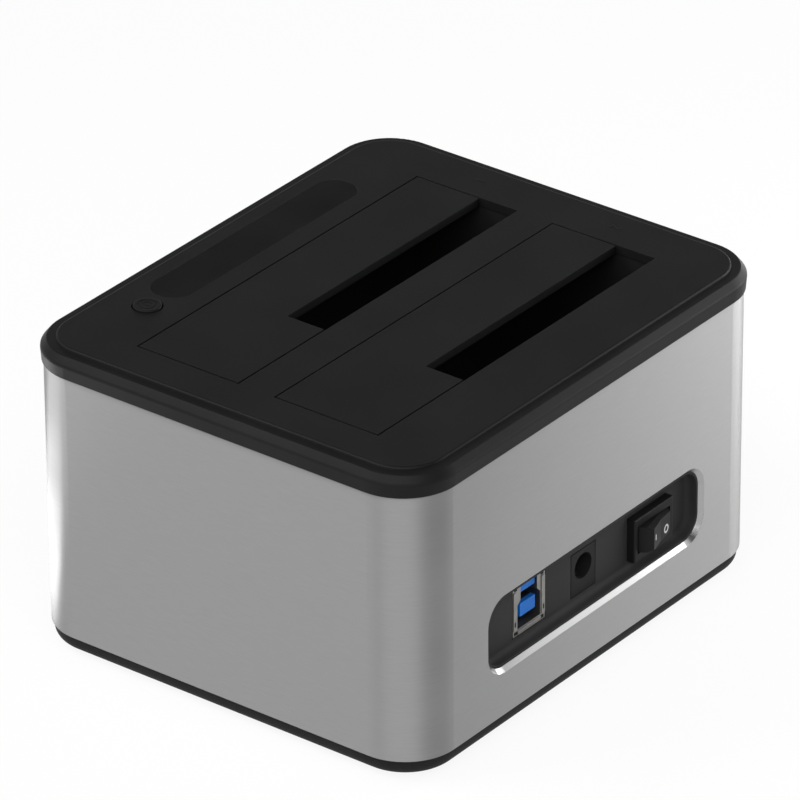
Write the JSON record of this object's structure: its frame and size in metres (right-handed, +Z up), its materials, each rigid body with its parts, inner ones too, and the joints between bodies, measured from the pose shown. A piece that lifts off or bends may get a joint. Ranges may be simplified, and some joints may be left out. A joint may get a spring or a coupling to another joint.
{
  "type": "hard drive dock and duplicator",
  "caption": "Box-shaped hard-drive dock and duplicator with an aluminium sleeve, spring-loaded bay flaps, clone button, indicator window, and rear ports with a power switch.",
  "frame": {"origin": "on the surface that the feet stand on, below the middle of the casing", "axes": "+Z up; X along the drive bays; the port side faces +Y and the button side faces -Y"},
  "size_m": [0.1338, 0.114, 0.0795],
  "materials": {
    "cover_black": "fine-textured black",
    "flap_black": "fine-textured black",
    "sleeve_silver": "brushed and clear anodised",
    "base_black": "fine-textured black",
    "panel_black": "fine-textured black",
    "window_smoke": "polished dark lens",
    "button_black": "satin black",
    "inner_black": "moulded black",
    "board_green": "solder-masked board",
    "chip_black": "moulded black",
    "steel": "bright steel",
    "contact_gold": "gold-plated",
    "usb_metal": "dull nickel plate",
    "usb_blue": "blue insulator",
    "foot_rubber": "matt rubber",
    "led_white": "white emitter package",
    "baffle_white": "white light guide",
    "header_white": "natural nylon",
    "ribbon_grey": "flat cable sheath",
    "lead_red": "wire insulation",
    "capacitor_shell": "drawn can"
  },
  "bodies": {
    "casing": {"top_cover": "cover_black", "outer_sleeve": "sleeve_silver", "base_cover": "base_black", "rear_panel": "panel_black", "led_window": "window_smoke", "led_baffle": "baffle_white", "indicator_leds": "led_white", "indicator_board": "board_green", "tact_switch": "chip_black", "main_board": "board_green", "bridge_chip": "chip_black", "memory_chip": "chip_black", "crystal": "steel", "capacitors": "capacitor_shell", "inductor": "chip_black", "board_header": "header_white", "indicator_header": "header_white", "ribbon_cable": "ribbon_grey", "usb_shell": "usb_metal", "usb_insulator": "usb_blue", "dc_jack_body": "inner_black", "dc_centre_pin": "steel", "power_switch_housing": "button_black", "power_switch_terminals": "contact_gold", "power_switch_leads": "lead_red", "base_screws": "steel", "well_screws": "steel", "indicator_board_screws": "steel", "foot_front_left": "foot_rubber", "foot_front_right": "foot_rubber", "foot_rear_left": "foot_rubber", "foot_rear_right": "foot_rubber", "front_bay_well": "inner_black", "front_hinge_pin": "steel", "front_flap_spring": "steel", "front_sata_receptacle": "inner_black", "front_sata_contacts": "contact_gold", "rear_bay_well": "inner_black", "rear_hinge_pin": "steel", "rear_flap_spring": "steel", "rear_sata_receptacle": "inner_black", "rear_sata_contacts": "contact_gold"},
    "front_flap": {"front_bay_flap": "flap_black"},
    "rear_flap": {"rear_bay_flap": "flap_black"},
    "button": {"clone_button": "button_black", "tact_plunger": "inner_black"},
    "rocker": {"power_rocker": "button_black"}
  },
  "joints": [
    {"name": "front_flap_hinge", "type": "hinge", "parent": "casing", "child": "front_flap", "pos_m": [0.00155, -0.03535, 0.0745], "axis": [-1, 0, 0], "range_deg": [0, 89], "stiffness_Nm_per_rad": 0.004, "springref_deg": -57.3, "deforming": ["front_flap_spring"]},
    {"name": "rear_flap_hinge", "type": "hinge", "parent": "casing", "child": "rear_flap", "pos_m": [0.00155, 0.00375, 0.0745], "axis": [-1, 0, 0], "range_deg": [0, 89], "stiffness_Nm_per_rad": 0.004, "springref_deg": -57.3, "deforming": ["rear_flap_spring"]},
    {"name": "clone_button_press", "type": "slide", "parent": "casing", "child": "button", "axis": [0, 0, -1], "range_m": [0, 0.0005], "stiffness_N_per_m": 1500, "springref_m": -0.0003},
    {"name": "power_rocker_pivot", "type": "hinge", "parent": "casing", "child": "rocker", "pos_m": [-0.0249, 0.05255, 0.0257], "axis": [0, 0, -1], "range_deg": [0, 26]}
  ]
}
